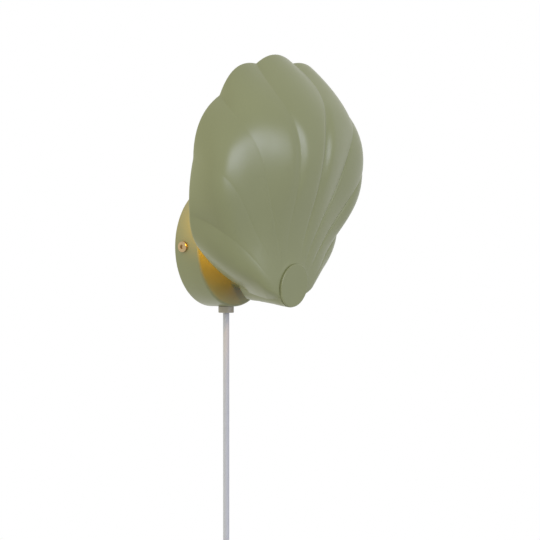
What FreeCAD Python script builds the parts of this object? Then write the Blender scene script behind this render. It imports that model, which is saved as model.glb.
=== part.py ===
"""Wall lamp: a round wall dish, a short arm and a scallop-shell shade, on a textile cord with a plug."""
import FreeCAD, Part
import math
import os

Vector = FreeCAD.Vector
Rotation = FreeCAD.Rotation
Placement = FreeCAD.Placement

# Millimetres. The origin is the middle of the dish's back, on the wall. +Z is up and the room is at -Y.
# A place in front of the wall is written as at(x, front, z), with front measured away from the wall.

# Clearances and the length by which a cutting solid runs past what it cuts
fit_gap = 0.1
thread_gap = 0.05
running_gap = 0.3
overrun = 5.0

# Wall dish
dish_r = 50.0
dish_depth = 24.5
dish_sheet = 1.0
dish_edge_r = 2.0
dish_screw_front = 8.8
dish_screw_r = 2.0
dish_screw_head_r = 4.5
dish_screw_head = 2.2
dish_screw_edge = 0.7
dish_screw_length = 9.0
hex_key_r = 1.7
hex_key_depth = 1.4

# Bracket on the wall
strap = 2.0
strap_half_height = 10.0
ear_half_height = 8.0
ear_depth = 20.0
wall_slot_pitch = 60.0
wall_slot_r = 2.2
wall_slot_length = 12.0

# Terminal block on the bracket
block_half_width = 9.0
block_height = 16.0
block_depth = 12.0
pole_pitch = 9.0
barrel_r = 2.2
barrel_bore_r = 1.2
barrel_length = 13.0
terminal_screw_r = 1.5
terminal_screw_length = 4.0
terminal_screw_inset = 4.0
block_screw_r = 1.2
block_screw_head_r = 2.2
block_screw_head = 1.4
screwdriver_slot = 0.6

# Arm
arm_from_rim = 22.0
arm_drop = dish_r - arm_from_rim
rod_r = 5.0
rod_bore_r = 3.4
rod_start = 15.5
rod_in_hub = 6.0
arm_tube_r = 6.5
locknut_across = 15.0
locknut_height = 4.0
arm_washer_r = 9.0
arm_washer = 1.0

# Shade, in a frame of its own that leans with it: x to the side, rise up the shell, depth out to the front
shade_tilt = 7.5
shade_height = 180.0
shade_depth = 45.0
shade_wall = 1.5
umbo_r = 18.0
umbo_thick = 2.0
umbo_edge_r = 0.7
umbo_front = 86.0
umbo_below_arm = 3.7
umbo_drop = arm_drop + umbo_below_arm
umbo_groove = 0.5
stud_r = 5.0
stud_length = 9.0

# Hub behind the shade
hub_r = 15.0
hub_back = 55.0
hub_cavity_r = 7.0
hub_front_wall = 10.0
holder_seat_rise = 17.0
holder_depth = 24.0
holder_boss_r = 8.0
hub_screw_r = 2.0
hub_screw_length = 7.0

# Lampholder and its two-pin bulb
nipple_r = 5.0
nipple_bore_r = 3.4
nipple_length = 15.0
nipple_below = 9.0
holder_r = 11.0
holder_height = 30.0
holder_floor = 7.0
holder_edge_r = 1.0
socket_half_width = 7.6
socket_half_depth = 3.6
socket_depth = 13.0
contact_width = 3.0
contact_thick = 0.5
contact_height = 8.5
pin_pitch = 9.0
pin_r = 0.45
pin_loop_width = 2.4
pin_length = 9.0
bulb_base_half_width = 7.2
bulb_base_half_depth = 3.2
bulb_base_height = 17.0
bulb_r = 9.0
bulb_glass_length = 42.0
bulb_wall = 0.8
bulb_neck = 5.0
bulb_stem_r = 2.0
bulb_stem_height = 8.0
filament_r = 0.6
filament_height = 24.0
filament_spread = 3.0

# Gland
gland_r = 6.4
gland_height = 5.2
gland_stem_r = 4.8
gland_stem = 7.0
gland_nut_r = 7.2
gland_nut = 2.6
gland_edge_r = 0.6
grub_r = 1.5

# Cord
cord_r = 2.6
cord_front = 14.5
cord_into_dish = 5.5
cord_top_drop = dish_r - cord_into_dish
core_r = 1.1
core_bend_r = 3.5
wire_front = 11.5
supply_front = 4.5

# In-line switch
switch_drop = 250.0
switch_length = 62.0
switch_half_width = 12.0
switch_depth = 18.0
switch_wall = 2.0
switch_edge_r = 4.0
switch_lip_r = 1.2
cord_in_switch = 8.0
switch_screw_pitch = 34.0
switch_screw_side = 7.4
switch_screw_r = 1.2
switch_screw_head_r = 2.3
switch_screw_head = 1.4
switch_boss_r = 2.5
rocker_half_width = 6.2
rocker_r = 11.0
rocker_rise = 4.4
rocker_dip = 2.6
rocker_skirt = 2.6
rocker_tilt = 8.0
rocker_pivot_depth = 5.0
rocker_pin_r = 1.3
cheek = 1.8
switch_contact_width = 5.0
switch_contact_length = 12.0
switch_contact_thick = 0.8

# Coil of the cord's spare length, its tie, and the plug under it
coil_r = 28.5
coil_bundle_r = 8.7
coil_drop = 372.0
coil_turns = 8
tie_thick = 0.9
tie_turn = 16.0
plug_below_coil = 40.0
plug_top_drop = coil_drop + plug_below_coil
relief_length = 24.0
relief_top_r = 3.6
relief_base_r = 5.0
plug_length = 34.0
plug_half_width = 17.5
plug_half_depth = 6.8
plug_waist = 12.0
plug_edge_r = 3.0
plug_pin_pitch = 19.0
plug_pin_r = 2.0
plug_pin_length = 19.0
plug_sleeve_length = 10.0
cord_in_relief = 12.0

FULL_TURN = 360.0
SPLINE_DEGREE = 3
RIGHT = Vector(1, 0, 0)
FRONT = Vector(0, -1, 0)
UP = Vector(0, 0, 1)
DOWN = Vector(0, 0, -1)

# The shade's creases, from the seat of the umbo out to the rim, nearest the middle line first. Each row is
# (share of the reach beyond the seat, degrees from straight up, share of the seat's depth).
crease_shares = [
    [(0.045, 21, 0.94), (0.23, 13.5, 0.97), (0.49, 8.7, 1.255), (0.75, 8.2, 1.13), (0.915, 12.2, 0.51),
     (1.0, 7.8, 0)],
    [(0.055, 38, 0.93), (0.23, 31.5, 0.965), (0.475, 30.5, 0.965), (0.73, 28, 0.965), (0.89, 30.5, 0.62),
     (0.92, 24.5, 0)],
    [(0.06, 59, 0.96), (0.195, 50, 0.86), (0.41, 47.5, 0.85), (0.64, 45.5, 0.86), (0.78, 47, 0.62),
     (0.743, 43.7, 0)],
    [(0.09, 79, 0.97), (0.2, 68, 0.83), (0.31, 63, 0.7), (0.42, 60.5, 0.6), (0.51, 60, 0.38),
     (0.55, 60, 0)],
    [(0.04, 102, 1.0), (0.095, 93, 0.94), (0.16, 86, 0.77), (0.27, 79, 0.58), (0.36, 75, 0.28),
     (0.38, 71.4, 0)],
    [(0, 126, 0.84), (0, 124, 0.65), (0, 121, 0.465), (0, 118, 0.28), (-0.003, 114, 0.14),
     (-0.003, 109.6, 0)],
]
seat_turns = [24, 46, 66, 88, 112, 128]

# How far each rib stands out between its creases, as a share of the space between them, from seat to rim
bulge_shares = [
    [0, 0.02, 0.06, 0.08, 0.08, 0.12, 0.155],
    [0, 0.02, 0.06, 0.08, 0.07, 0.095, 0.2],
    [0, 0.02, 0.05, 0.06, 0.09, 0.115, 0.185],
    [0, 0.01, 0.02, 0.06, 0.16, 0.13, 0.055],
    [0, 0.01, 0.03, 0.08, 0.16, 0.13, 0.1],
    [0, 0.04, 0.06, 0.06, 0.06, 0.05, 0.04],
]
# Degrees by which the ribs lean from straight out to along the rim's plane, and how round each row stays
lean_turns = [0, 5, 10, 15, 40, 75, 90]
round_shares = [1, 0.8, 0.3, 0, 0, 0, 0]
# The neck under the umbo: share of the seat's radius at the bottom, and how wide it stays there
neck_shares = [(1, 0.5), (1.005, 0.51), (1.015, 0.52), (1.02, 0.53), (1.02, 0.5), (1.0, 0.38), (0.985, 0.24)]

seat_r = umbo_r + umbo_groove
seat_depth = shade_depth - umbo_thick
lean_sin = math.sin(math.radians(shade_tilt))
lean_cos = math.cos(math.radians(shade_tilt))
shade_place = Placement(
    Vector(0, -(umbo_front - shade_depth * lean_cos), shade_depth * lean_sin - umbo_drop),
    Rotation(RIGHT, FULL_TURN / 4 + shade_tilt))


def at(x, front, z):
    return Vector(x, -front, z)


def box(low, high):
    """Box between two corners given as (x, front, z)."""
    size = [abs(b - a) for a, b in zip(low, high)]
    corner = Vector(min(low[0], high[0]), -max(low[1], high[1]), min(low[2], high[2]))
    return Part.makeBox(size[0], size[1], size[2], corner)


def cylinder(r, length, base, direction):
    return Part.makeCylinder(r, length, base, direction)


def ring(outer, inner, length, base, direction):
    return cylinder(outer, length, base, direction).cut(cylinder(inner, length, base, direction))


def hexagon(across, height, base, direction):
    """Six-sided prism, its width across flats given."""
    corner_r = across / 2 / math.cos(math.radians(FULL_TURN / 12))
    turns = [math.radians(FULL_TURN / 6 * i) for i in range(7)]
    flat = Part.makePolygon([Vector(corner_r * math.cos(t), corner_r * math.sin(t), 0) for t in turns])
    prism = Part.Face(flat).extrude(Vector(0, 0, height))
    prism.Placement = Placement(base, Rotation(UP, direction))
    return prism


def round_end(solid, centre, direction, r):
    """Round the edges that lie in the plane through centre across direction."""
    edges = [e for e in solid.Edges
             if all(abs((v.Point - centre).dot(direction)) < fit_gap / 10 for v in e.Vertexes)
             and abs((e.CenterOfMass - centre).dot(direction)) < fit_gap / 10]
    return solid.makeFillet(r, edges)


def facing_out(solid):
    """Turn a solid inside out if its faces point inwards."""
    if solid.Volume < 0:
        solid.reverse()
    return solid


def in_shade(solid):
    """Move a solid from the shade's own frame, (x, rise, depth), to the lamp's."""
    solid.Placement = shade_place.multiply(solid.Placement)
    return solid


def path_of(points, largest_r=math.inf):
    """Straight runs joined by tangent arcs, each as large as its two runs allow. Gives wire and radii."""
    edges = []
    radii = []
    start = points[0]
    for i in range(1, len(points) - 1):
        back = points[i - 1] - points[i]
        ahead = points[i + 1] - points[i]
        half_turn = (math.pi - back.getAngle(ahead)) / 2
        radii.append(min(0.45 * min(back.Length, ahead.Length) / math.tan(half_turn), largest_r))
        reach = radii[-1] * math.tan(half_turn)
        back.normalize()
        ahead.normalize()
        arc_start = points[i] + back * reach
        arc_end = points[i] + ahead * reach
        middle = back + ahead
        middle.normalize()
        r = radii[-1]
        arc_middle = points[i] + middle * (r / math.cos(half_turn) - r)
        edges.append(Part.LineSegment(start, arc_start).toShape())
        edges.append(Part.Arc(arc_start, arc_middle, arc_end).toShape())
        start = arc_end
    edges.append(Part.LineSegment(start, points[-1]).toShape())
    return Part.Wire(edges), radii


def tube_along(points, r, largest_bend_r=math.inf):
    """Round tube along a route. Gives the solid and the route's bend radii."""
    wire, radii = path_of(points, largest_bend_r)
    first = points[1] - points[0]
    circle = Part.Wire(Part.makeCircle(r, points[0], first))
    solid = wire.makePipeShell([circle], True, True)
    wanted = math.pi * r * r * wire.Length
    if not solid.isValid() or abs(solid.Volume / wanted - 1) > 0.01:
        raise ValueError("a tube's volume doesn't match its section and length")
    return solid, radii


# Shade

def polar(r, turn, depth):
    return Vector(r * math.sin(math.radians(turn)), r * math.cos(math.radians(turn)), depth)


def crease_poles(index, inset):
    """Poles of one crease on the right-hand side, moved inwards by inset."""
    flat = [(seat_r, seat_turns[index], seat_depth)]
    for reach_share, turn, depth_share in crease_shares[index]:
        flat.append((seat_r + reach_share * (shade_height - seat_r), turn, depth_share * seat_depth))
    poles = [polar(seat_r - inset, seat_turns[index], seat_depth - inset)]
    for j in range(1, len(flat) - 1):
        run = flat[j + 1][0] - flat[j - 1][0]
        fall = flat[j - 1][2] - flat[j + 1][2]
        slope = math.hypot(run, fall)
        r, turn, depth = flat[j]
        poles.append(polar(r - inset * fall / slope, turn, depth - inset * run / slope))
    poles.append(polar(flat[-1][0] - inset, flat[-1][1], 0))
    return poles


def mirrored(point):
    return Vector(-point.x, point.y, point.z)


def arc_poles(a, b):
    """The two middle poles of a round arc about the umbo's axis from a to b."""
    turn_a = math.atan2(a.x, a.y)
    turn_b = math.atan2(b.x, b.y)
    turn = (turn_b - turn_a) % (2 * math.pi)
    arm = 4 / 3 * math.tan(turn / 4)
    climb = Vector(0, 0, (b.z - a.z) / 3)
    first = a + Vector(a.y, -a.x, 0) * arm + climb
    second = b - Vector(b.y, -b.x, 0) * arm - climb
    return first, second


def rib_row(a, b, bulge, lean, roundness):
    """Four poles across a rib from crease to crease."""
    chord = b - a
    side = Vector(-chord.y, chord.x, 0)
    side.normalize()
    out = Vector(0, 0, 1) - chord * (chord.z / chord.Length ** 2)
    out.normalize()
    side = side - out * side.dot(out)
    side.normalize()
    turn = math.radians(lean)
    rise = (out * math.cos(turn) + side * math.sin(turn)) * (bulge * chord.Length * 4 / 3)
    arc_a, arc_b = arc_poles(a, b)
    first = arc_a * roundness + (a + chord / 3 + rise) * (1 - roundness)
    second = arc_b * roundness + (a + chord * (2 / 3) + rise) * (1 - roundness)
    return [a, first, second, b]


def neck_row(a, b, low_share, wide_share, inset, roundness):
    """Four poles round the underside of the neck, from the right-hand corner to the left-hand one."""
    arc_a, arc_b = arc_poles(a, b)
    low = (inset - low_share * seat_r - a.y / 4) * 4 / 3
    first = arc_a * roundness + Vector(a.x * wide_share, low, a.z) * (1 - roundness)
    second = arc_b * roundness + Vector(b.x * wide_share, low, b.z) * (1 - roundness)
    return [a, first, second, b]


def shade_patches(inset):
    """Pole grids of all ribs, left to right over the top, and of the neck."""
    right = [crease_poles(i, inset) for i in range(len(crease_shares))]
    left = [[mirrored(p) for p in crease] for crease in reversed(right)]
    creases = left + right
    bulges = bulge_shares[:0:-1] + bulge_shares
    patches = []
    for i, bulge in enumerate(bulges):
        patches.append([rib_row(creases[i][j], creases[i + 1][j], bulge[j], lean_turns[j], round_shares[j])
                        for j in range(len(bulge))])
    patches.append([neck_row(right[-1][j], left[0][j], low, wide, inset, round_shares[j])
                    for j, (low, wide) in enumerate(neck_shares)])
    return patches


def patch_face(rows):
    surface = Part.BSplineSurface()
    spans = len(rows) - SPLINE_DEGREE
    knots = [i / spans for i in range(spans + 1)]
    full = SPLINE_DEGREE + 1
    mults = [full] + [1] * (spans - 1) + [full]
    surface.buildFromPolesMultsKnots(rows, mults, [full, full], knots, [0, 1], False, False,
                                     SPLINE_DEGREE, SPLINE_DEGREE)
    return surface.toShape()


def row_edge(row):
    curve = Part.BezierCurve()
    curve.setPoles(row)
    return curve.toShape()


def shade_shell():
    """Ribbed shell of one thickness, flat round its hole, where the umbo and the hub clamp it."""
    outer = shade_patches(0)
    inner = shade_patches(shade_wall)
    faces = [patch_face(rows) for rows in outer + inner]
    for rows_out, rows_in in zip(outer, inner):
        faces.append(Part.makeRuledSurface(row_edge(rows_out[-1]), row_edge(rows_in[-1])))
    hole_r = stud_r + fit_gap
    for patches, depth in ((outer, seat_depth), (inner, seat_depth - shade_wall)):
        border = Part.Wire([row_edge(rows[0]) for rows in patches])
        hole = Part.Wire(Part.makeCircle(hole_r, Vector(0, 0, depth)))
        faces.append(Part.Face([border, hole]))
    bore = Part.makeCylinder(hole_r, shade_wall, Vector(0, 0, seat_depth - shade_wall))
    faces.append([f for f in bore.Faces if f.Surface.TypeId == "Part::GeomCylinder"][0])
    shell = Part.makeShell(faces)
    shell.sewShape()
    return in_shade(facing_out(Part.makeSolid(shell)))


def umbo_cap():
    """Flat round disc with a threaded stud that clamps the shade to the hub."""
    disc = Part.makeCylinder(umbo_r, umbo_thick, Vector(0, 0, seat_depth))
    disc = round_end(disc, Vector(0, 0, shade_depth), UP, umbo_edge_r)
    stud = Part.makeCylinder(stud_r, stud_length, Vector(0, 0, seat_depth - stud_length))
    return in_shade(disc.fuse(stud))


def rod_end():
    return hub_back + rod_in_hub


def shade_hub():
    """Turned hub: the arm enters its back, the umbo's stud its front and the lampholder's nipple its top."""
    front = seat_depth - shade_wall
    body = Part.makeCylinder(hub_r, front, Vector(0, 0, 0))
    boss = Part.makeCylinder(holder_boss_r, holder_seat_rise, Vector(0, 0, holder_depth), Vector(0, 1, 0))
    wall = front - hub_front_wall
    stud_hole = Part.makeCylinder(stud_r + thread_gap, hub_front_wall + overrun, Vector(0, 0, wall))
    cavity_back = holder_depth - holder_boss_r
    cavity = Part.makeCylinder(hub_cavity_r, wall - cavity_back, Vector(0, 0, cavity_back))
    nipple_hole = Part.makeCylinder(nipple_r + thread_gap, holder_seat_rise + overrun,
                                    Vector(0, 0, holder_depth), Vector(0, 1, 0))
    hub = body.fuse(boss).cut(stud_hole.fuse(cavity).fuse(nipple_hole))
    hub = in_shade(hub)
    behind = box((-hub_r - overrun, hub_back, -dish_r - hub_r), (hub_r + overrun, 0, dish_r))
    rod_hole = cylinder(rod_r + thread_gap, rod_in_hub + overrun, at(0, hub_back, -arm_drop), FRONT)
    grub_front = hub_back + rod_in_hub / 2
    grub_hole = cylinder(hub_screw_r + thread_gap, hub_r * 2, at(0, grub_front, -arm_drop - rod_r), DOWN)
    return hub.cut(behind.fuse(rod_hole).fuse(grub_hole))


def hub_screw():
    """Grub screw that keeps the arm from turning in the hub."""
    base = at(0, hub_back + rod_in_hub / 2, -arm_drop - rod_r)
    body = cylinder(hub_screw_r, hub_screw_length, base, DOWN)
    floor = base + DOWN * (hub_screw_length - hex_key_depth)
    socket = hexagon(hub_screw_r, hex_key_depth + overrun, floor, DOWN)
    return body.cut(socket)


# Arm

def arm_tube():
    return ring(arm_tube_r, rod_r + fit_gap, hub_back - dish_depth, at(0, dish_depth, -arm_drop), FRONT)


def arm_rod():
    return ring(rod_r, rod_bore_r, rod_end() - rod_start, at(0, rod_start, -arm_drop), FRONT)


def arm_washer_ring():
    back = dish_depth - dish_sheet - arm_washer
    return ring(arm_washer_r, rod_r + fit_gap, arm_washer, at(0, back, -arm_drop), FRONT)


def arm_locknut():
    back = dish_depth - dish_sheet - arm_washer - locknut_height
    nut = hexagon(locknut_across, locknut_height, at(0, back, -arm_drop), FRONT)
    return nut.cut(cylinder(rod_r + thread_gap, locknut_height, at(0, back, -arm_drop), FRONT))


# Wall dish and bracket

def wall_dish():
    outside = cylinder(dish_r, dish_depth, at(0, 0, 0), FRONT)
    outside = round_end(outside, at(0, dish_depth, 0), FRONT, dish_edge_r)
    hollow_depth = dish_depth - dish_sheet
    hollow = cylinder(dish_r - dish_sheet, hollow_depth, at(0, 0, 0), FRONT)
    hollow = round_end(hollow, at(0, hollow_depth, 0), FRONT, dish_edge_r - dish_sheet)
    screws = cylinder(dish_screw_r + fit_gap, dish_r * 2 + overrun * 2,
                      at(-dish_r - overrun, dish_screw_front, 0), RIGHT)
    gland = cylinder(gland_stem_r + fit_gap, dish_r, at(0, cord_front, 0), DOWN)
    arm = cylinder(rod_r + fit_gap, dish_depth, at(0, dish_depth / 2, -arm_drop), FRONT)
    return outside.cut(hollow).cut(screws).cut(gland).cut(arm)


def ear_outside():
    """How far to the side an ear's outer face stands, just inside the dish."""
    return math.sqrt((dish_r - dish_sheet) ** 2 - strap_half_height ** 2) - fit_gap


def wall_bracket():
    """Flat strap against the wall with two slots, and an ear at each end for the dish's screws."""
    side = ear_outside()
    plate = box((-side, 0, -strap_half_height), (side, strap, strap_half_height))
    for sign in (-1, 1):
        ear = box((sign * side, 0, -ear_half_height), (sign * (side - strap), ear_depth, ear_half_height))
        plate = plate.fuse(ear)
        middle = sign * wall_slot_pitch / 2
        straight = wall_slot_length / 2 - wall_slot_r
        through = strap + overrun
        slot = box((middle - straight, -overrun, -wall_slot_r), (middle + straight, through, wall_slot_r))
        for end in (-straight, straight):
            slot = slot.fuse(cylinder(wall_slot_r, strap + overrun * 2, at(middle + end, -overrun, 0), FRONT))
        plate = plate.cut(slot)
    holes = cylinder(dish_screw_r + thread_gap, side * 2 + overrun * 2,
                     at(-side - overrun, dish_screw_front, 0), RIGHT)
    block_hole = cylinder(block_screw_r + thread_gap, strap + overrun * 2, at(0, -overrun, 0), FRONT)
    return plate.removeSplitter().cut(holes).cut(block_hole)


def dish_screws():
    """Two domed screws with hexagon sockets, one in each side of the dish."""
    solids = []
    for sign in (-1, 1):
        out = RIGHT * sign
        seat = at(sign * dish_r, dish_screw_front, 0)
        head = cylinder(dish_screw_head_r, dish_screw_head, seat, out)
        head = round_end(head, seat + out * dish_screw_head, out, dish_screw_edge)
        shank = cylinder(dish_screw_r, dish_screw_length, seat - out * dish_screw_length, out)
        floor = seat + out * (dish_screw_head - hex_key_depth)
        socket = hexagon(hex_key_r * 2, hex_key_depth + overrun, floor, out)
        solids.append(head.fuse(shank).cut(socket))
    return Part.makeCompound(solids)


def pole_places():
    """The terminal block's poles as signs and sideways places."""
    return [(sign, sign * pole_pitch / 2) for sign in (-1, 1)]


def terminal_block():
    """Two-pole block held on the bracket by one screw between its poles."""
    low = -block_height / 2
    front = strap + block_depth
    block = box((-block_half_width, strap, low), (block_half_width, front, low + block_height))
    middle = strap + block_depth / 2
    for sign, x in pole_places():
        block = block.cut(cylinder(barrel_r + fit_gap, block_height, at(x, middle, low), UP))
        for end in (-1, 1):
            z = end * (barrel_length / 2 - terminal_screw_inset)
            block = block.cut(cylinder(terminal_screw_r + fit_gap, block_depth, at(x, middle, z), FRONT))
    screw = cylinder(block_screw_r + fit_gap, block_depth, at(0, strap, 0), FRONT)
    sink = cylinder(block_screw_head_r + fit_gap, block_depth, at(0, middle, 0), FRONT)
    return block.cut(screw.fuse(sink))


def terminal_barrels():
    solids = []
    middle = strap + block_depth / 2
    for sign, x in pole_places():
        barrel = ring(barrel_r, barrel_bore_r, barrel_length, at(x, middle, -barrel_length / 2), UP)
        for end in (-1, 1):
            z = end * (barrel_length / 2 - terminal_screw_inset)
            barrel = barrel.cut(cylinder(terminal_screw_r + thread_gap, block_depth, at(x, middle, z), FRONT))
        solids.append(barrel)
    return Part.makeCompound(solids)


def terminal_screws():
    solids = []
    start = strap + block_depth / 2 + core_r
    for sign, x in pole_places():
        for end in (-1, 1):
            z = end * (barrel_length / 2 - terminal_screw_inset)
            screw = cylinder(terminal_screw_r, terminal_screw_length, at(x, start, z), FRONT)
            slot_front = start + terminal_screw_length - terminal_screw_r / 2
            slot = box((x - terminal_screw_r, slot_front, z - screwdriver_slot / 2),
                       (x + terminal_screw_r, slot_front + overrun, z + screwdriver_slot / 2))
            solids.append(screw.cut(slot))
    return Part.makeCompound(solids)


def block_screw():
    seat = strap + block_depth / 2
    shank = cylinder(block_screw_r, seat, at(0, 0, 0), FRONT)
    head = cylinder(block_screw_head_r, block_screw_head, at(0, seat, 0), FRONT)
    slot = box((-block_screw_head_r, seat + block_screw_head / 2, -screwdriver_slot / 2),
               (block_screw_head_r, seat + overrun, screwdriver_slot / 2))
    return shank.fuse(head).cut(slot)


def supply_wires():
    """The cord's two cores, from its end inside the dish up into the terminal block."""
    solids = []
    middle = strap + block_depth / 2
    for sign, x in pole_places():
        start = at(sign * (core_r + fit_gap), cord_front, -cord_top_drop)
        route = [start,
                 at(start.x, cord_front, -cord_top_drop + core_r * 5),
                 at(x, supply_front, -arm_drop),
                 at(x, middle, -block_height / 2 - core_r * 4),
                 at(x, middle, -fit_gap)]
        solids.append(tube_along(route, core_r)[0])
    return Part.makeCompound(solids)


def holder_wires():
    """Two cores from the top of the terminal block, through the arm and the hub, to the lampholder."""
    solids = []
    middle = strap + block_depth / 2
    top = block_height / 2
    side = block_half_width + core_r * 3
    hub_turn = in_shade(Part.Vertex(0, 0, holder_depth)).Point
    holder = in_shade(Part.Vertex(0, holder_seat_rise + holder_floor - core_r, holder_depth)).Point
    for sign, x in pole_places():
        inset = sign * (core_r + fit_gap)
        route = [at(x, middle, fit_gap),
                 at(x, middle, top + core_r * 7),
                 at(sign * side, middle, top),
                 at(sign * side, wire_front, -arm_drop + rod_r),
                 at(inset, wire_front, -arm_drop),
                 at(inset, -hub_turn.y, -arm_drop),
                 Vector(inset, holder.y, holder.z)]
        solids.append(tube_along(route, core_r, core_bend_r)[0])
    return Part.makeCompound(solids)


# Lampholder and bulb, drawn in the shade's frame with their axis up the rise

def upright(r, low, high):
    return Part.makeCylinder(r, high - low, Vector(0, low, holder_depth), Vector(0, 1, 0))


def shade_box(half_x, low, high, half_depth, x=0):
    corner = Vector(x - half_x, low, holder_depth - half_depth)
    return Part.makeBox(half_x * 2, high - low, half_depth * 2, corner)


def holder_nipple():
    low = holder_seat_rise - nipple_below
    tube = upright(nipple_r, low, low + nipple_length)
    return in_shade(tube.cut(upright(nipple_bore_r, low, low + nipple_length)))


def holder_top():
    return holder_seat_rise + holder_height


def lampholder():
    """Ceramic two-pin lampholder on the hub's boss, with a slot in its top for the bulb's foot."""
    low = holder_seat_rise
    body = upright(holder_r, low, holder_top())
    body = round_end(body, Vector(0, holder_top(), 0), Vector(0, 1, 0), holder_edge_r)
    nipple_hole = upright(nipple_r + thread_gap, low, low + holder_floor)
    socket = shade_box(socket_half_width, holder_top() - socket_depth, holder_top(), socket_half_depth)
    room_low = low + holder_floor
    contact_room = shade_box(socket_half_width, room_low, holder_top() - socket_depth, contact_width)
    return in_shade(body.cut(nipple_hole).cut(socket).cut(contact_room))


def holder_contacts():
    """Two spring clips in the lampholder, one round each of the bulb's pins."""
    solids = []
    low = holder_seat_rise + holder_floor
    for sign in (-1, 1):
        x = sign * pin_pitch / 2
        grip = pin_r + running_gap
        foot = shade_box(pin_loop_width / 2, low, low + contact_thick, grip + contact_thick, x)
        for side in (-1, 1):
            leaf = Part.makeBox(pin_loop_width, contact_height, contact_thick,
                                Vector(x - pin_loop_width / 2, low,
                                       holder_depth + side * (grip + contact_thick / 2) - contact_thick / 2))
            foot = foot.fuse(leaf)
        solids.append(foot.removeSplitter())
    return in_shade(Part.makeCompound(solids))


def bulb_seat():
    """Where the bulb's foot stands in the lampholder's socket."""
    return holder_top() - socket_depth + fit_gap


def bulb_pins():
    """Two wire loops under the bulb's foot."""
    solids = []
    low = bulb_seat() - pin_length
    for sign in (-1, 1):
        x = sign * pin_pitch / 2
        half = pin_loop_width / 2 - pin_r
        loop = upright(pin_r, low + half, bulb_seat())
        loop.translate(Vector(x - half, 0, 0))
        other = upright(pin_r, low + half, bulb_seat())
        other.translate(Vector(x + half, 0, 0))
        centre = Vector(x, low + half, holder_depth)
        bend = Part.makeTorus(half, pin_r, centre, Vector(0, 0, 1), -180, 180, 180)
        bend.rotate(centre, Vector(0, 0, 1), 180)
        solids.append(loop.fuse(other).fuse(bend))
    return in_shade(Part.makeCompound(solids))


def bulb_base():
    """Flat ceramic foot of the bulb."""
    base = shade_box(bulb_base_half_width, bulb_seat(), bulb_seat() + bulb_base_height, bulb_base_half_depth)
    edges = [e for e in base.Edges if abs(e.tangentAt(e.FirstParameter).y) > 0.9]
    return in_shade(base.makeFillet(bulb_base_half_depth / 2, edges))


def glass_outline(inset):
    """Half outline of the bulb's glass as (radius, rise): narrow at the foot and domed at the top."""
    low = bulb_seat() + bulb_base_height
    top = low + bulb_glass_length - inset
    r = bulb_r - inset
    neck_r = bulb_base_half_width + fit_gap - inset
    foot = Vector(neck_r, low + inset, 0)
    wide = Vector(r, low + bulb_neck, 0)
    shoulder = Vector(r, top - r, 0)
    peak = Vector(0, top, 0)
    over = Vector(r * math.sin(math.pi / 4), top - r + r * math.cos(math.pi / 4), 0)
    floor = Vector(0, low + inset, 0)
    edges = [Part.LineSegment(floor, foot).toShape(), Part.LineSegment(foot, wide).toShape(),
             Part.LineSegment(wide, shoulder).toShape(), Part.Arc(shoulder, over, peak).toShape(),
             Part.LineSegment(peak, floor).toShape()]
    return Part.Face(Part.Wire(edges))


def bulb_glass():
    outer = glass_outline(0).revolve(Vector(0, 0, 0), Vector(0, 1, 0), FULL_TURN)
    inner = glass_outline(bulb_wall).revolve(Vector(0, 0, 0), Vector(0, 1, 0), FULL_TURN)
    low = bulb_seat() + bulb_base_height
    stem_hole = Part.makeCylinder(bulb_stem_r, bulb_wall, Vector(0, low, 0), Vector(0, 1, 0))
    glass = outer.cut(inner).cut(stem_hole)
    glass.translate(Vector(0, 0, holder_depth))
    return in_shade(glass)


def bulb_filament():
    """Stem in the glass with four upright glowing strips."""
    low = bulb_seat() + bulb_base_height
    stem = upright(bulb_stem_r, low, low + bulb_stem_height)
    top = low + bulb_stem_height
    plate = upright(filament_spread + filament_r * 2, top - filament_r, top)
    stem = stem.fuse(plate)
    for i in range(4):
        turn = math.radians(FULL_TURN / 8 + FULL_TURN / 4 * i)
        strip = upright(filament_r, top, top + filament_height)
        strip.translate(Vector(filament_spread * math.cos(turn), 0, filament_spread * math.sin(turn)))
        stem = stem.fuse(strip)
    return in_shade(stem.removeSplitter())


# Gland

def cord_gland():
    """Short round collar under the dish, its threaded stem inside."""
    collar = cylinder(gland_r, gland_height, at(0, cord_front, -dish_r), DOWN)
    collar = round_end(collar, at(0, cord_front, -dish_r - gland_height), DOWN, gland_edge_r)
    stem = cylinder(gland_stem_r, gland_stem, at(0, cord_front, -dish_r), UP)
    bore = cylinder(cord_r + fit_gap, gland_height + gland_stem, at(0, cord_front, -dish_r - gland_height), UP)
    return collar.fuse(stem).cut(bore).cut(grub_hole(grub_r + thread_gap))


def grub_hole(r):
    """Room of the gland's grub screw, from the cord out through the collar's back."""
    start = cord_front - cord_r
    return cylinder(r, start - (cord_front - gland_r) + overrun,
                    at(0, start, -dish_r - gland_height / 2), Vector(0, 1, 0))


def gland_grub_screw():
    length = gland_r - cord_r
    start = at(0, cord_front - cord_r, -dish_r - gland_height / 2)
    body = cylinder(grub_r, length, start, Vector(0, 1, 0))
    return body.cut(hexagon(grub_r, overrun, start + Vector(0, length / 2, 0), Vector(0, 1, 0)))


def gland_locknut():
    """Thin nut inside the dish, clear of the curve of its wall."""
    seat = math.sqrt((dish_r - dish_sheet) ** 2 - gland_nut_r ** 2)
    nut = hexagon(gland_nut_r * math.sqrt(3), gland_nut, at(0, cord_front, -seat), UP)
    return nut.cut(cylinder(gland_stem_r + thread_gap, gland_nut, at(0, cord_front, -seat), UP))


# In-line switch

def switch_middle():
    return -switch_drop - switch_length / 2


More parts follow.
